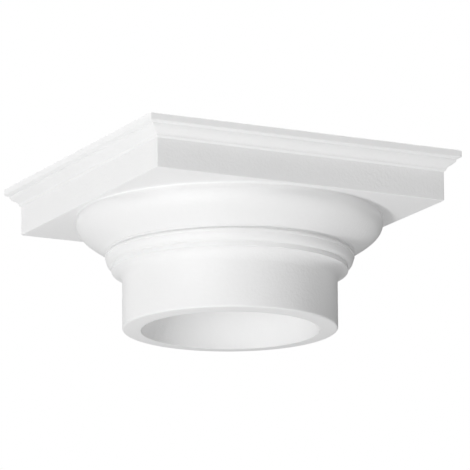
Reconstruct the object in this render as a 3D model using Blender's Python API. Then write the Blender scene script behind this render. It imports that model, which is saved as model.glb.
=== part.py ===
"""Doric capital: a turned neck and echinus that carry a square abacus, moulded as one hollow piece.

It stands on the ring under its neck. The origin is the centre of that ring, +Z is up, and the sides of
the abacus lie along X and Y. Lengths are in metres. A reach is how far a member stands out past the last one.
"""

import math

import bmesh
import bpy
from mathutils import Vector
from mathutils.geometry import interpolate_bezier

# Neck, its bore, and the ring under it, which rises a little from a flat land round the bore
NECK_RADIUS = 0.110
NECK_HEIGHT = 0.0484
NECK_WALL = 0.019
RING_LAND = 0.004
RING_RISE = 0.001
NECK_EDGE_RADIUS = 0.002

# Small mouldings above the neck, from the bottom up
COVE_REACH = 0.011
COVE_HEIGHT = 0.0126
LOWER_FILLET_HEIGHT = 0.0052
OVOLO_REACH = 0.0058
OVOLO_HEIGHT = 0.009
UPPER_FILLET_REACH = 0.0008
UPPER_FILLET_HEIGHT = 0.0023

# Narrow hollow between the upper fillet and the echinus. Its pull is how far both its handles go inward.
HOLLOW_PULL = 0.0037
HOLLOW_HEIGHT = 0.0037
HOLLOW_LIP_REACH = 0.0004

# Echinus, one swelling curve that rises from a sloping foot and leans out a little at its head.
# A pull is a handle of that curve, as a share of its height. A hollow corner joins the head to the abacus.
ECHINUS_REACH = 0.0284
ECHINUS_HEIGHT = 0.035
ECHINUS_FOOT_ANGLE = math.radians(45)
ECHINUS_FOOT_PULL = 0.395
ECHINUS_HEAD_LEAN = math.radians(17)
ECHINUS_HEAD_PULL = 0.55
CORNER_RADIUS = 0.0016

# Abacus, from its underside up: plain face, sloping quirk, ogee, sloping ledge and band
ABACUS_OVERHANG = 0.0051
FACE_HEIGHT = 0.030
FACE_EDGE_RADIUS = 0.0009
QUIRK_REACH = 0.0018
QUIRK_HEIGHT = 0.0018
OGEE_REACH = 0.0078
OGEE_HEIGHT = 0.0104
OGEE_FOOT_PULL = 0.42
OGEE_HEAD_PULL = 0.54
LEDGE_REACH = 0.0023
LEDGE_HEIGHT = 0.0011
BAND_EDGE_RADIUS = 0.0016
BAND_HEIGHT = 0.008
ARRIS_RADIUS = 0.0012

# How far a shape runs into its neighbour, or a cutter past the part
OVERLAP = 0.004

# Flats per full turn and steps per curve
TURN_STEPS = 96
ECHINUS_STEPS = 12
MOULDING_STEPS = 5
EDGE_STEPS = 3

WHITE = (0.86, 0.86, 0.85, 1.0)
ROUGHNESS = 0.55

# Radii and heights that follow from the sizes above
BORE_RADIUS = NECK_RADIUS - NECK_WALL
LOWER_FILLET_RADIUS = NECK_RADIUS + COVE_REACH
OVOLO_RADIUS = LOWER_FILLET_RADIUS + OVOLO_REACH
UPPER_FILLET_RADIUS = OVOLO_RADIUS + UPPER_FILLET_REACH
HOLLOW_LIP_RADIUS = UPPER_FILLET_RADIUS + HOLLOW_LIP_REACH
ECHINUS_RADIUS = HOLLOW_LIP_RADIUS + ECHINUS_REACH
FACE_HALF = ECHINUS_RADIUS + ABACUS_OVERHANG
OGEE_FOOT_HALF = FACE_HALF + QUIRK_REACH
OGEE_HEAD_HALF = OGEE_FOOT_HALF + OGEE_REACH
BAND_EDGE_HALF = OGEE_HEAD_HALF + LEDGE_REACH

LOWER_FILLET_BOTTOM = NECK_HEIGHT + COVE_HEIGHT
LOWER_FILLET_TOP = LOWER_FILLET_BOTTOM + LOWER_FILLET_HEIGHT
UPPER_FILLET_BOTTOM = LOWER_FILLET_TOP + OVOLO_HEIGHT
UPPER_FILLET_TOP = UPPER_FILLET_BOTTOM + UPPER_FILLET_HEIGHT
HOLLOW_TOP = UPPER_FILLET_TOP + HOLLOW_HEIGHT
ECHINUS_TOP = HOLLOW_TOP + ECHINUS_HEIGHT
ABACUS_BOTTOM = ECHINUS_TOP + CORNER_RADIUS
FACE_TOP = ABACUS_BOTTOM + FACE_HEIGHT
OGEE_FOOT = FACE_TOP + QUIRK_HEIGHT
OGEE_HEAD = OGEE_FOOT + OGEE_HEIGHT
BAND_BOTTOM = OGEE_HEAD + LEDGE_HEIGHT
CAPITAL_TOP = BAND_BOTTOM + BAND_HEIGHT


def clear_scene():
    for obj in list(bpy.data.objects):
        bpy.data.objects.remove(obj)


def arc(centre, reach, height, start, end, steps):
    """Points (out, up) of an ellipse about centre, from start to end in degrees."""
    out, up = centre
    turns = [math.radians(start + (end - start) * step / steps) for step in range(steps + 1)]
    return [(out + reach * math.cos(turn), up + height * math.sin(turn)) for turn in turns]


def curve(start, start_pull, end_pull, end, steps):
    """Points (out, up) of one Bezier curve. Each pull is the offset of a handle from its end."""
    first, last = Vector(start), Vector(end)
    points = interpolate_bezier(first, first + Vector(start_pull), last + Vector(end_pull), last, steps + 1)
    return [(point.x, point.y) for point in points]


def echinus_curve():
    """The echinus from the lip of the hollow to its head."""
    foot = ECHINUS_FOOT_PULL * ECHINUS_HEIGHT
    head = ECHINUS_HEAD_PULL * ECHINUS_HEIGHT
    return curve(
        (HOLLOW_LIP_RADIUS, HOLLOW_TOP),
        (foot * math.cos(ECHINUS_FOOT_ANGLE), foot * math.sin(ECHINUS_FOOT_ANGLE)),
        (head * math.sin(ECHINUS_HEAD_LEAN), -head * math.cos(ECHINUS_HEAD_LEAN)),
        (ECHINUS_RADIUS, ECHINUS_TOP),
        ECHINUS_STEPS,
    )


def turned_profile():
    """Radius and height up the outside, from the ring under the neck to just inside the abacus."""
    land = [(BORE_RADIUS + RING_LAND, 0.0)]
    rim_centre = (NECK_RADIUS - NECK_EDGE_RADIUS, RING_RISE + NECK_EDGE_RADIUS)
    neck = arc(rim_centre, NECK_EDGE_RADIUS, NECK_EDGE_RADIUS, -90, 0, EDGE_STEPS)
    cove = arc((LOWER_FILLET_RADIUS, NECK_HEIGHT), COVE_REACH, COVE_HEIGHT, 180, 90, MOULDING_STEPS)
    ovolo = arc((LOWER_FILLET_RADIUS, UPPER_FILLET_BOTTOM), OVOLO_REACH, OVOLO_HEIGHT, -90, 0, MOULDING_STEPS)
    fillet = [(UPPER_FILLET_RADIUS, UPPER_FILLET_BOTTOM)]
    hollow = curve(
        (UPPER_FILLET_RADIUS, UPPER_FILLET_TOP), (-HOLLOW_PULL, 0),
        (-HOLLOW_PULL, 0), (HOLLOW_LIP_RADIUS, HOLLOW_TOP), MOULDING_STEPS,
    )[:-1]
    corner_radius = ECHINUS_RADIUS + CORNER_RADIUS
    corner = arc((corner_radius, ECHINUS_TOP), CORNER_RADIUS, CORNER_RADIUS, 180, 90, EDGE_STEPS)[1:]
    inside = [(corner_radius, ABACUS_BOTTOM + OVERLAP)]
    return land + neck + cove + ovolo + fillet + hollow + echinus_curve() + corner + inside


def abacus_profile():
    """Half width and height up the side of the abacus, from its underside to its top."""
    face_edge = arc(
        (FACE_HALF - FACE_EDGE_RADIUS, ABACUS_BOTTOM + FACE_EDGE_RADIUS),
        FACE_EDGE_RADIUS, FACE_EDGE_RADIUS, -90, 0, EDGE_STEPS,
    )
    face = [(FACE_HALF, FACE_TOP)]
    ogee = curve(
        (OGEE_FOOT_HALF, OGEE_FOOT), (0, OGEE_FOOT_PULL * OGEE_HEIGHT),
        (0, -OGEE_HEAD_PULL * OGEE_HEIGHT), (OGEE_HEAD_HALF, OGEE_HEAD), 2 * MOULDING_STEPS,
    )
    band_foot = arc(
        (BAND_EDGE_HALF, BAND_BOTTOM + BAND_EDGE_RADIUS),
        BAND_EDGE_RADIUS, BAND_EDGE_RADIUS, -90, 0, EDGE_STEPS,
    )
    band_head = arc(
        (BAND_EDGE_HALF, CAPITAL_TOP - BAND_EDGE_RADIUS),
        BAND_EDGE_RADIUS, BAND_EDGE_RADIUS, 0, 90, EDGE_STEPS,
    )
    return face_edge + face + ogee + band_foot + band_head


def mesh_object(name, shape):
    """A new object from a bmesh, with its normals outward."""
    bmesh.ops.recalc_face_normals(shape, faces=shape.faces)
    mesh = bpy.data.meshes.new(name)
    shape.to_mesh(mesh)
    shape.free()
    mesh.shade_smooth()
    mesh.set_sharp_from_angle(angle=math.radians(25))
    obj = bpy.data.objects.new(name, mesh)
    bpy.context.scene.collection.objects.link(obj)
    return obj


def turned_object(name, profile):
    """A solid of revolution about Z whose outside follows profile, from bottom to top."""
    shape = bmesh.new()
    ends = [(0.0, profile[0][1]), *profile, (0.0, profile[-1][1])]
    points = [shape.verts.new((radius, 0, height)) for radius, height in ends]
    edges = [shape.edges.new(pair) for pair in zip(points, points[1:])]
    bmesh.ops.spin(
        shape, geom=points + edges, cent=(0, 0, 0), axis=(0, 0, 1), angle=math.tau,
        steps=TURN_STEPS, use_merge=True,
    )
    bmesh.ops.remove_doubles(shape, verts=shape.verts, dist=1e-6)
    return mesh_object(name, shape)


def square_object(name, profile):
    """A square solid about Z whose four sides follow profile, with its upright edges a little rounded."""
    shape = bmesh.new()
    half, height = profile[0]
    bmesh.ops.create_grid(shape, x_segments=1, y_segments=1, size=half)
    bmesh.ops.translate(shape, verts=shape.verts, vec=(0, 0, height))
    bmesh.ops.bevel(
        shape, geom=shape.verts[:], offset=ARRIS_RADIUS, segments=EDGE_STEPS, profile=0.5, affect="VERTICES",
    )
    rim = shape.edges[:]
    for next_half, next_height in profile[1:]:
        made = bmesh.ops.extrude_edge_only(shape, edges=rim)["geom"]
        rim = [item for item in made if isinstance(item, bmesh.types.BMEdge)]
        for point in [item for item in made if isinstance(item, bmesh.types.BMVert)]:
            point.co.x += math.copysign(1, point.co.x) * (next_half - half)
            point.co.y += math.copysign(1, point.co.y) * (next_half - half)
            point.co.z = next_height
        half = next_half
    bmesh.ops.contextual_create(shape, geom=rim)
    return mesh_object(name, shape)


def helper(obj):
    """Marks an object that only shapes another one."""
    obj.hide_render = True
    obj.display_type = "WIRE"
    return obj


def boolean(target, other, operation):
    modifier = target.modifiers.new(other.name, "BOOLEAN")
    modifier.operation = operation
    modifier.solver = "EXACT"
    modifier.object = other


def white_foam():
    """Primed white moulding."""
    material = bpy.data.materials.new("white_foam")
    material.use_nodes = True
    shader = material.node_tree.nodes["Principled BSDF"]
    shader.inputs["Base Color"].default_value = WHITE
    shader.inputs["Roughness"].default_value = ROUGHNESS
    shader.inputs["Metallic"].default_value = 0.0
    return material


def doric_capital():
    """Abacus and turned part as one solid, with the bore through both."""
    capital = square_object("doric_capital", abacus_profile())
    turned_part = helper(turned_object("turned_part", turned_profile()))
    bore = helper(turned_object("bore", [(BORE_RADIUS, -OVERLAP), (BORE_RADIUS, CAPITAL_TOP + OVERLAP)]))
    boolean(capital, turned_part, "UNION")
    boolean(capital, bore, "DIFFERENCE")
    capital.data.materials.append(white_foam())
    return capital


clear_scene()
doric_capital()
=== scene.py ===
"""Looks of the doric capital: the fine moulding in primed white foam, soft light and a camera below it."""
import math

import bmesh
import bpy
from mathutils import Matrix, Vector
from mathutils.geometry import interpolate_bezier


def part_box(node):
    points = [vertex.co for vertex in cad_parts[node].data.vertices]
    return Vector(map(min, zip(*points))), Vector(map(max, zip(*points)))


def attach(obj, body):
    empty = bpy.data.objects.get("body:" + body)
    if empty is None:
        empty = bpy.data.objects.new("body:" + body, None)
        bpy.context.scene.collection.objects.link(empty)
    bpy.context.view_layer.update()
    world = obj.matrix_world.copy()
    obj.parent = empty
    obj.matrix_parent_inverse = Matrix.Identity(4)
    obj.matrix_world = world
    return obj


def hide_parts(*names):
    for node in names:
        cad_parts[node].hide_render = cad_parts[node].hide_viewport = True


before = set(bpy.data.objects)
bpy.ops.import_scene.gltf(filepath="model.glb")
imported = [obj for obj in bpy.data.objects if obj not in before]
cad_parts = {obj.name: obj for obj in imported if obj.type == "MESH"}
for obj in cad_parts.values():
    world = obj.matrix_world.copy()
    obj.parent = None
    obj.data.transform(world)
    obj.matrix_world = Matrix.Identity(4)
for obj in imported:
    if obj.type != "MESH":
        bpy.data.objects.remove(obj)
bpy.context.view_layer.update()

# One millimetre in metres, the frame's unit
MM = 0.001

# What the frame gives, in metres
LOWEST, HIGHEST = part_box("doric_capital")
CENTRE = (LOWEST + HIGHEST) / 2

# Outer sizes of the abacus, in mm as all sizes of the moulding
BAND_HALF = HIGHEST.x / MM
CAPITAL_TOP = HIGHEST.z / MM

# Radii of the turned members
BORE_RADIUS = 91
NECK_RADIUS = 110
LOWER_FILLET_RADIUS = 121
OVOLO_RADIUS = 126.8
UPPER_FILLET_RADIUS = 127.6
ECHINUS_FOOT_RADIUS = 128
ECHINUS_RADIUS = 156.4

# Heights above the flat land of the ring under the neck
NECK_TOP = 48.4
LOWER_FILLET_BOTTOM = 61
LOWER_FILLET_TOP = 66.2
UPPER_FILLET_BOTTOM = 75.2
UPPER_FILLET_TOP = 77.5
ECHINUS_FOOT = 81.2
ABACUS_BOTTOM = 117.8
FACE_TOP = 147.8

# The ring under the neck: how wide its flat land is, and how far the rest rises to the outer edge
RING_LAND = 4
RING_RISE = 1

# How far both handles of the hollow under the echinus go inward
HOLLOW_PULL = 3.7

# The echinus's curve: its foot slopes, its head leans out, and a pull is a handle as a share of its height
ECHINUS_FOOT_ANGLE = math.radians(45)
ECHINUS_FOOT_PULL = 0.395
ECHINUS_HEAD_LEAN = math.radians(17)
ECHINUS_HEAD_PULL = 0.55

# Half width of the abacus's face, then each member above it: how far it reaches out and how far it rises
FACE_HALF = 161.5
QUIRK = (1.8, 1.8)
OGEE = (7.8, 10.4)
LEDGE = (2.3, 1.1)
OGEE_FOOT_PULL = 4.4
OGEE_HEAD_PULL = 5.6

# Edge radii, and the hollow corner between the echinus and the soffit
NECK_EDGE = 2
SOFFIT_CORNER = 1.6
FACE_EDGE = 0.9
BAND_EDGE = 1.6
ARRIS = 1.2
FINE_EDGE = 0.5

# Steps per full turn, per moulding and per rounded edge, and the least angle that is shaded as an edge
TURN_STEPS = 256
ECHINUS_STEPS = 36
MOULDING_STEPS = 14
EDGE_STEPS = 6
SHARP_ANGLE = math.radians(30)

# The primer's noises: the size of their blots in metres, and their detail
CLOUD_SIZE = 0.060
CLOUD_DETAIL = 3
PEEL_SIZE = 0.0035
GRAIN_SIZE = 0.0011
FINE_DETAIL = 2

# The primer: its whites, its roughness with what the noises add to it, and the heights of its bumps in metres
DARKER_WHITE = (0.850, 0.850, 0.850, 1)
LIGHTER_WHITE = (0.880, 0.880, 0.880, 1)
LEAST_ROUGHNESS = 0.46
CLOUD_ROUGHNESS = 0.12
GRAIN_ROUGHNESS = 0.06
PEEL_HEIGHT = 0.0003
GRAIN_HEIGHT = 0.000008

# Place of the camera and its turns, in degrees: heading round Z, then tilt up, then roll
CAMERA_DISTANCE = 4.5793
CAMERA_AZIMUTH = -26.96
CAMERA_ELEVATION = -12.0778
CAMERA_HEADING = -27.03
CAMERA_TILT = 13.298
CAMERA_ROLL = -0.3535
CAMERA_LENS = 344.2
SENSOR_WIDTH = 36
CAMERA_REACH = 100

# The capital hangs high over the floor, so that it is seen from below too. Lengths are in metres.
FLOOR_HEIGHT = -5.5
FLOOR_SIZE = 60
FLOOR_SHADE = 0.7
FLOOR_ROUGHNESS = 0.9

# How far the softboxes stand from the capital in metres
LAMP_DISTANCE = 1.8

# Strength and spread of the light from overhead
OVERHEAD_STRENGTH = 2.36
OVERHEAD_SPREAD = math.radians(40)

# How bright the world looks below the horizon, and how far down it has faded to that
FAR_FLOOR_SHADE = 0.5
HORIZON_FADE = 0.2


def arc(centre, reach, rise, start, end, steps):
    """Points (out, up) of an ellipse about centre, from start to end in degrees."""
    out, up = centre
    turns = [math.radians(start + (end - start) * step / steps) for step in range(steps + 1)]
    return [(out + reach * math.cos(turn), up + rise * math.sin(turn)) for turn in turns]


def round_edge(centre, radius, start, end):
    """Points (out, up) of a rounded edge or corner about centre, from start to end in degrees."""
    return arc(centre, radius, radius, start, end, EDGE_STEPS)


def curve(start, start_pull, end_pull, end, steps):
    """Points (out, up) of one Bezier curve. Each pull is the offset of a handle from its end."""
    first, last = Vector(start), Vector(end)
    points = interpolate_bezier(first, first + Vector(start_pull), last + Vector(end_pull), last, steps + 1)
    return [(point.x, point.y) for point in points]


def echinus_profile():
    """The echinus and the hollow corner above it, which share a point."""
    top = ABACUS_BOTTOM - SOFFIT_CORNER
    rise = top - ECHINUS_FOOT
    foot, head = ECHINUS_FOOT_PULL * rise, ECHINUS_HEAD_PULL * rise
    echinus = curve(
        (ECHINUS_FOOT_RADIUS, ECHINUS_FOOT),
        (foot * math.cos(ECHINUS_FOOT_ANGLE), foot * math.sin(ECHINUS_FOOT_ANGLE)),
        (head * math.sin(ECHINUS_HEAD_LEAN), -head * math.cos(ECHINUS_HEAD_LEAN)),
        (ECHINUS_RADIUS, top),
        ECHINUS_STEPS,
    )
    corner = round_edge((ECHINUS_RADIUS + SOFFIT_CORNER, top), SOFFIT_CORNER, 180, 90)
    return echinus + corner[1:]


def turned_profile():
    """From the bore's upper rim down the bore, round the neck's foot and up the mouldings to the soffit."""
    upper_rim = round_edge((BORE_RADIUS + FINE_EDGE, CAPITAL_TOP - FINE_EDGE), FINE_EDGE, 90, 180)
    lower_rim = round_edge((BORE_RADIUS + FINE_EDGE, FINE_EDGE), FINE_EDGE, 180, 270)
    land = [(BORE_RADIUS + RING_LAND, 0)]
    neck_foot = round_edge((NECK_RADIUS - NECK_EDGE, RING_RISE + NECK_EDGE), NECK_EDGE, -90, 0)
    cove_out = LOWER_FILLET_RADIUS - FINE_EDGE
    cove = arc(
        (cove_out, NECK_TOP), cove_out - NECK_RADIUS, LOWER_FILLET_BOTTOM - NECK_TOP, 180, 90, MOULDING_STEPS,
    )
    fillet_edge = round_edge((cove_out, LOWER_FILLET_BOTTOM + FINE_EDGE), FINE_EDGE, -90, 0)
    ovolo = arc(
        (LOWER_FILLET_RADIUS, UPPER_FILLET_BOTTOM), OVOLO_RADIUS - LOWER_FILLET_RADIUS,
        UPPER_FILLET_BOTTOM - LOWER_FILLET_TOP, -90, 0, MOULDING_STEPS,
    )
    step_edge = round_edge(
        (UPPER_FILLET_RADIUS - FINE_EDGE, UPPER_FILLET_BOTTOM + FINE_EDGE), FINE_EDGE, -90, 0,
    )
    inward = (-HOLLOW_PULL, 0)
    hollow = curve(
        (UPPER_FILLET_RADIUS, UPPER_FILLET_TOP), inward,
        inward, (ECHINUS_FOOT_RADIUS, ECHINUS_FOOT), MOULDING_STEPS,
    )
    # Where two members share a point, one of them leaves it out
    foot = upper_rim + lower_rim + land + neck_foot + cove + fillet_edge[1:]
    return foot + ovolo + step_edge + hollow[:-1] + echinus_profile()


def abacus_profile():
    """Half width and height up the side of the abacus, from its soffit to its top."""
    face_edge = round_edge((FACE_HALF - FACE_EDGE, ABACUS_BOTTOM + FACE_EDGE), FACE_EDGE, -90, 0)
    face_top = Vector((FACE_HALF, FACE_TOP))
    quirk_top = face_top + Vector(QUIRK)
    ogee_top = quirk_top + Vector(OGEE)
    ogee = curve(quirk_top, (0, OGEE_FOOT_PULL), (0, -OGEE_HEAD_PULL), ogee_top, 2 * MOULDING_STEPS)
    band_bottom = ogee_top.y + LEDGE[1]
    band_foot = round_edge((BAND_HALF - BAND_EDGE, band_bottom + BAND_EDGE), BAND_EDGE, -90, 0)
    band_head = round_edge((BAND_HALF - BAND_EDGE, CAPITAL_TOP - BAND_EDGE), BAND_EDGE, 0, 90)
    return face_edge + [tuple(face_top)] + ogee + band_foot + band_head


def spun(shape, profile):
    """Turns profile round Z and returns the edges of its first and of its last circle."""
    points = [shape.verts.new((radius * MM, 0, height * MM)) for radius, height in profile]
    edges = [shape.edges.new(pair) for pair in zip(points, points[1:])]
    bmesh.ops.spin(
        shape, geom=points + edges, cent=(0, 0, 0), axis=(0, 0, 1), angle=math.tau,
        steps=TURN_STEPS, use_merge=True,
    )
    rims = [item for item in shape.edges if item.is_boundary]
    upper = [item for item in rims if item.verts[0].co.z > (CAPITAL_TOP + ABACUS_BOTTOM) / 2 * MM]
    lower = [item for item in rims if item not in upper]
    return upper, lower


def swept(shape, profile):
    """Sweeps profile round the square abacus and returns the edges of its lowest and of its highest loop."""
    half, height = profile[0]
    square = bmesh.ops.create_grid(shape, x_segments=1, y_segments=1, size=half * MM)["verts"]
    bmesh.ops.translate(shape, verts=square, vec=(0, 0, height * MM))
    rounded = bmesh.ops.bevel(
        shape, geom=square, offset=ARRIS * MM, segments=EDGE_STEPS, profile=0.5,
        affect="VERTICES", material=-1,
    )
    underside = rounded["verts"][0].link_faces[0]
    lowest = list(underside.edges)
    bmesh.ops.delete(shape, geom=[underside], context="FACES_ONLY")
    rim = lowest
    for next_half, next_height in profile[1:]:
        made = bmesh.ops.extrude_edge_only(shape, edges=rim)["geom"]
        rim = [item for item in made if isinstance(item, bmesh.types.BMEdge)]
        for point in [item for item in made if isinstance(item, bmesh.types.BMVert)]:
            point.co.x += math.copysign(1, point.co.x) * (next_half - half) * MM
            point.co.y += math.copysign(1, point.co.y) * (next_half - half) * MM
            point.co.z = next_height * MM
        half = next_half
    return lowest, rim


def moulding():
    """The whole capital as one closed skin: the turned part and the abacus, joined by soffit and top."""
    shape = bmesh.new()
    bore_rim, echinus_rim = spun(shape, turned_profile())
    soffit_rim, top_rim = swept(shape, abacus_profile())
    bmesh.ops.triangle_fill(shape, edges=echinus_rim + soffit_rim, use_beauty=True)
    bmesh.ops.triangle_fill(shape, edges=bore_rim + top_rim, use_beauty=True)
    bmesh.ops.recalc_face_normals(shape, faces=shape.faces)
    mesh = bpy.data.meshes.new("capital_moulding")
    shape.to_mesh(mesh)
    shape.free()
    mesh.shade_smooth()
    mesh.set_sharp_from_angle(angle=SHARP_ANGLE)
    piece = bpy.data.objects.new("capital_moulding", mesh)
    bpy.context.scene.collection.objects.link(piece)
    even = piece.modifiers.new("even_shading", "WEIGHTED_NORMAL")
    even.keep_sharp = True
    mesh.materials.append(primed_foam())
    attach(piece, "root")
    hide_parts("doric_capital")


class Link:
    """A node's output, so that shader maths reads as Python."""

    def __init__(self, tree, socket):
        self.tree = tree
        self.socket = socket

    def node(self, kind, settings, sockets, output=0):
        """Adds a node of this kind. Settings come first, and sockets take a value or a Link."""
        made = self.tree.nodes.new(kind)
        for name, value in settings.items():
            setattr(made, name, value)
        for name, value in sockets.items():
            if isinstance(value, Link):
                self.tree.links.new(value.socket, made.inputs[name])
            else:
                made.inputs[name].default_value = value
        return Link(self.tree, made.outputs[output])

    def maths(self, operation, first, second):
        return self.node("ShaderNodeMath", {"operation": operation}, {0: first, 1: second})

    def __add__(self, other):
        return self.maths("ADD", self, other)

    def __radd__(self, other):
        return self.maths("ADD", other, self)

    def __mul__(self, other):
        return self.maths("MULTIPLY", self, other)

    def __rmul__(self, other):
        return self.maths("MULTIPLY", other, self)


def noise(place, size, detail):
    """Noise from 0 to 1 with blots of this size in metres."""
    return place.node(
        "ShaderNodeTexNoise", {"noise_dimensions": "3D"},
        {"Vector": place, "Scale": 1 / size, "Detail": detail, "Roughness": 0.5},
    )


def primed_foam():
    """White primer on rigid foam: an orange peel, a fine grain and a soft sheen that varies a little."""
    material = bpy.data.materials.new("primed_foam")
    material.use_nodes = True
    tree = material.node_tree
    shader = tree.nodes["Principled BSDF"]
    place = Link(tree, tree.nodes.new("ShaderNodeTexCoord").outputs["Object"])
    cloud = noise(place, CLOUD_SIZE, CLOUD_DETAIL)
    peel = noise(place, PEEL_SIZE, FINE_DETAIL)
    grain = noise(place, GRAIN_SIZE, FINE_DETAIL)

    # The Mix node's colours are its inputs 6 and 7, and its output 2
    colour = place.node(
        "ShaderNodeMix", {"data_type": "RGBA"},
        {"Factor": cloud, 6: DARKER_WHITE, 7: LIGHTER_WHITE}, output=2,
    )
    roughness = LEAST_ROUGHNESS + CLOUD_ROUGHNESS * cloud + GRAIN_ROUGHNESS * grain
    height = PEEL_HEIGHT * peel + GRAIN_HEIGHT * grain
    bump = place.node("ShaderNodeBump", {}, {"Strength": 1.0, "Distance": 1.0, "Height": height})

    tree.links.new(colour.socket, shader.inputs["Base Color"])
    tree.links.new(roughness.socket, shader.inputs["Roughness"])
    tree.links.new(bump.socket, shader.inputs["Normal"])
    return material


def studio_floor():
    """A plain pale floor, well below the camera."""
    shape = bmesh.new()
    bmesh.ops.create_grid(shape, x_segments=1, y_segments=1, size=FLOOR_SIZE / 2)
    bmesh.ops.translate(shape, verts=shape.verts, vec=(0, 0, FLOOR_HEIGHT))
    mesh = bpy.data.meshes.new("studio_floor")
    shape.to_mesh(mesh)
    shape.free()
    floor = bpy.data.objects.new("studio_floor", mesh)
    bpy.context.scene.collection.objects.link(floor)
    material = bpy.data.materials.new("pale_floor")
    material.use_nodes = True
    shader = material.node_tree.nodes["Principled BSDF"]
    shader.inputs["Base Color"].default_value = (FLOOR_SHADE, FLOOR_SHADE, FLOOR_SHADE, 1)
    shader.inputs["Roughness"].default_value = FLOOR_ROUGHNESS
    mesh.materials.append(material)


def from_camera_side(azimuth, elevation, distance):
    """A place round the capital. Azimuth is counted from the camera's, positive to its right."""
    turn, rise = math.radians(CAMERA_AZIMUTH + azimuth), math.radians(elevation)
    level = distance * math.cos(rise)
    return Vector((level * math.sin(turn), -level * math.cos(turn), distance * math.sin(rise)))


def softbox(name, azimuth, elevation, size, power):
    """A square lamp, size in metres and power in watts. It faces the capital and isn't seen itself."""
    light = bpy.data.lights.new(name, "AREA")
    light.shape = "SQUARE"
    light.size = size
    light.energy = power
    lamp = bpy.data.objects.new(name, light)
    lamp.location = CENTRE + from_camera_side(azimuth, elevation, LAMP_DISTANCE)
    lamp.rotation_euler = (CENTRE - lamp.location).to_track_quat("-Z", "Y").to_euler()
    lamp.visible_camera = False
    bpy.context.scene.collection.objects.link(lamp)


def studio_light():
    """Two keys from low on the left, soft light from all sides, and light from overhead off the floor."""
    softbox("key", -38, -37, 0.3, 12.9)
    softbox("front_low", -26, -13, 0.3, 3.6)
    softbox("right_low", 30, -30, 1.4, 1.7)
    softbox("right_high", 30, 20, 1.4, 10.3)
    softbox("left_high", -60, 30, 0.7, 5.9)
    softbox("front_high", -30, 60, 0.7, 4.5)
    softbox("back_left", -120, 20, 1.4, 9.7)
    overhead = bpy.data.lights.new("overhead", "SUN")
    overhead.energy = OVERHEAD_STRENGTH
    overhead.angle = OVERHEAD_SPREAD
    bpy.context.scene.collection.objects.link(bpy.data.objects.new("overhead", overhead))


def studio_world():
    """What is seen beyond the floor: white, and dimmer below the horizon. It gives no light itself."""
    world = bpy.data.worlds.new("studio")
    bpy.context.scene.world = world
    world.use_nodes = True
    tree = world.node_tree
    direction = Link(tree, tree.nodes.new("ShaderNodeTexCoord").outputs["Generated"])
    height = direction.node("ShaderNodeSeparateXYZ", {}, {"Vector": direction}, output=2)
    shade = direction.node(
        "ShaderNodeMapRange", {"interpolation_type": "SMOOTHSTEP"},
        {
            "Value": height, "From Min": -HORIZON_FADE, "From Max": 0.0,
            "To Min": FAR_FLOOR_SHADE, "To Max": 1.0,
        },
    )
    straight = Link(tree, tree.nodes.new("ShaderNodeLightPath").outputs["Is Camera Ray"])
    background = tree.nodes["Background"]
    background.inputs["Color"].default_value = (1, 1, 1, 1)
    tree.links.new((shade * straight).socket, background.inputs["Strength"])


def camera():
    """The camera, below the capital and looking up at it through a long lens."""
    data = bpy.data.cameras.new("camera")
    data.lens = CAMERA_LENS
    data.sensor_width = SENSOR_WIDTH
    data.clip_end = CAMERA_REACH
    seen_from = bpy.data.objects.new("camera", data)
    turns = ((CAMERA_HEADING, "Z"), (90 + CAMERA_TILT, "X"), (CAMERA_ROLL, "Z"))
    matrix = Matrix.Translation(from_camera_side(0, CAMERA_ELEVATION, CAMERA_DISTANCE))
    for degrees, axis in turns:
        matrix = matrix @ Matrix.Rotation(math.radians(degrees), 4, axis)
    seen_from.matrix_world = matrix
    bpy.context.scene.collection.objects.link(seen_from)
    bpy.context.scene.camera = seen_from


camera()
moulding()
studio_floor()
studio_light()
studio_world()
bpy.context.scene.view_settings.view_transform = "Standard"
